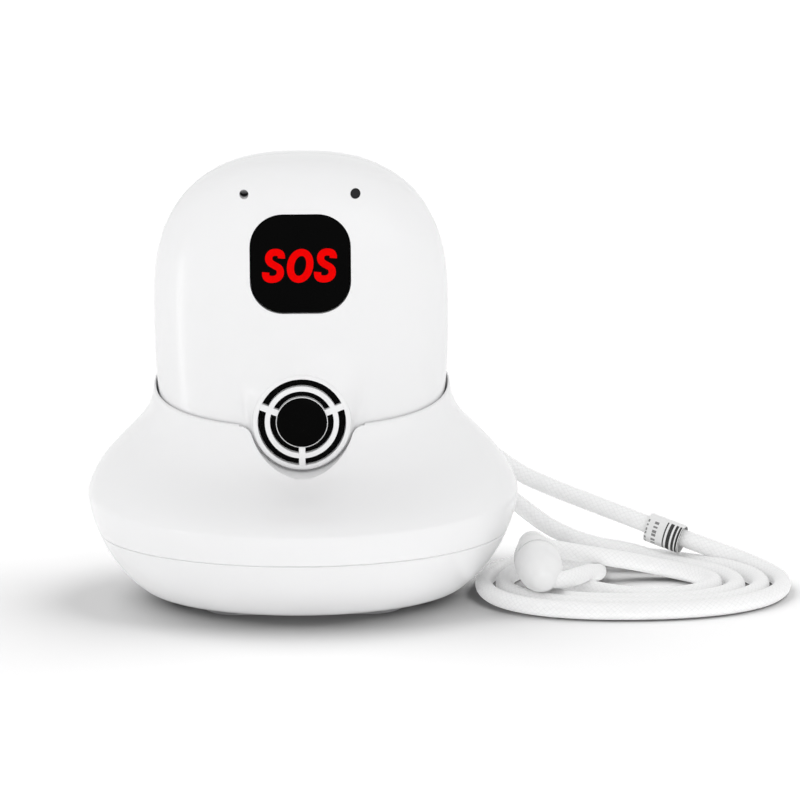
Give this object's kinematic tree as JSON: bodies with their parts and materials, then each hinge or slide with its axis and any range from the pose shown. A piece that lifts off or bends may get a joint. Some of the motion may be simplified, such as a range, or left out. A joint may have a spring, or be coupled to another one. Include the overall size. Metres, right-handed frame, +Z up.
{
  "type": "medical alert base station",
  "caption": "Oval charging cradle holding a neck-worn alert pendant with a large press button, a round speaker grille and a coiled braided lanyard.",
  "frame": {"origin": "middle of the cradle's rubber foot, on the table", "axes": "+X to the right seen from the front, +Y to the rear, +Z up; the button faces -Y"},
  "size_m": [0.1049, 0.0505, 0.0678],
  "materials": {
    "shell_white": "gloss moulded",
    "rubber_grey": "matt",
    "steel": "plated",
    "board_green": "solder mask",
    "black_plastic": "satin",
    "button_black": "gloss moulded, red legend",
    "gold": "gold plated",
    "cord_white": "braided",
    "mesh_black": "woven",
    "cone_black": "film",
    "battery_silver": "foil pouch",
    "foam_grey": "foam",
    "light_clear": "clear light pipe",
    "ceramic": "fired ceramic",
    "clasp_white": "moulded",
    "label_white": "paper film",
    "cast_steel": "plain"
  },
  "bodies": {
    "cradle": {"cradle_upper_shell": "shell_white", "cradle_lower_shell": "shell_white", "foot_pad": "rubber_grey", "shell_screws": "steel", "charge_board": "board_green", "contact_block": "black_plastic", "contact_springs": "steel", "usb_socket_shell": "steel", "usb_tongue": "black_plastic", "ballast_plate": "cast_steel", "cord_coil": "cord_white", "clasp_plug": "clasp_white", "clasp_socket": "clasp_white", "clasp_tail_plug": "cord_white", "clasp_tail_socket": "cord_white"},
    "contact_pins": {"contact_pins": "gold"},
    "pendant": {"pendant_front_cover": "shell_white", "pendant_rear_cover": "shell_white", "case_seal": "rubber_grey", "case_screws": "steel", "tact_switch": "black_plastic", "speaker_badge": "button_black", "speaker_mesh": "mesh_black", "speaker_frame": "black_plastic", "speaker_cone": "cone_black", "speaker_magnet": "steel", "microphone": "steel", "microphone_boot": "rubber_grey", "status_led": "ceramic", "light_pipe": "light_clear", "main_board": "board_green", "battery": "battery_silver", "battery_pad": "foam_grey", "antenna_patch": "ceramic", "radio_module": "steel", "sim_holder": "steel", "sim_card": "label_white", "vibration_motor": "steel", "charge_pads": "gold", "lanyard_bail": "steel", "neck_cord_right": "cord_white", "neck_cord_left": "cord_white", "label_sleeve": "label_white"},
    "sos_button": {"sos_button": "button_black"}
  },
  "joints": [
    {"name": "pendant_lift", "type": "slide", "parent": "cradle", "child": "pendant", "axis": [0, 0, 1], "range_m": [0, 0.035]},
    {"name": "button_press", "type": "slide", "parent": "pendant", "child": "sos_button", "axis": [0, 1, 0], "range_m": [0, 0.0005], "stiffness_N_per_m": 2000, "springref_m": -0.0003},
    {"name": "contact_press", "type": "slide", "parent": "cradle", "child": "contact_pins", "axis": [0, 0, -1], "range_m": [0, 0.0006], "stiffness_N_per_m": 300, "springref_m": -0.0005, "deforming": ["contact_springs"]}
  ]
}
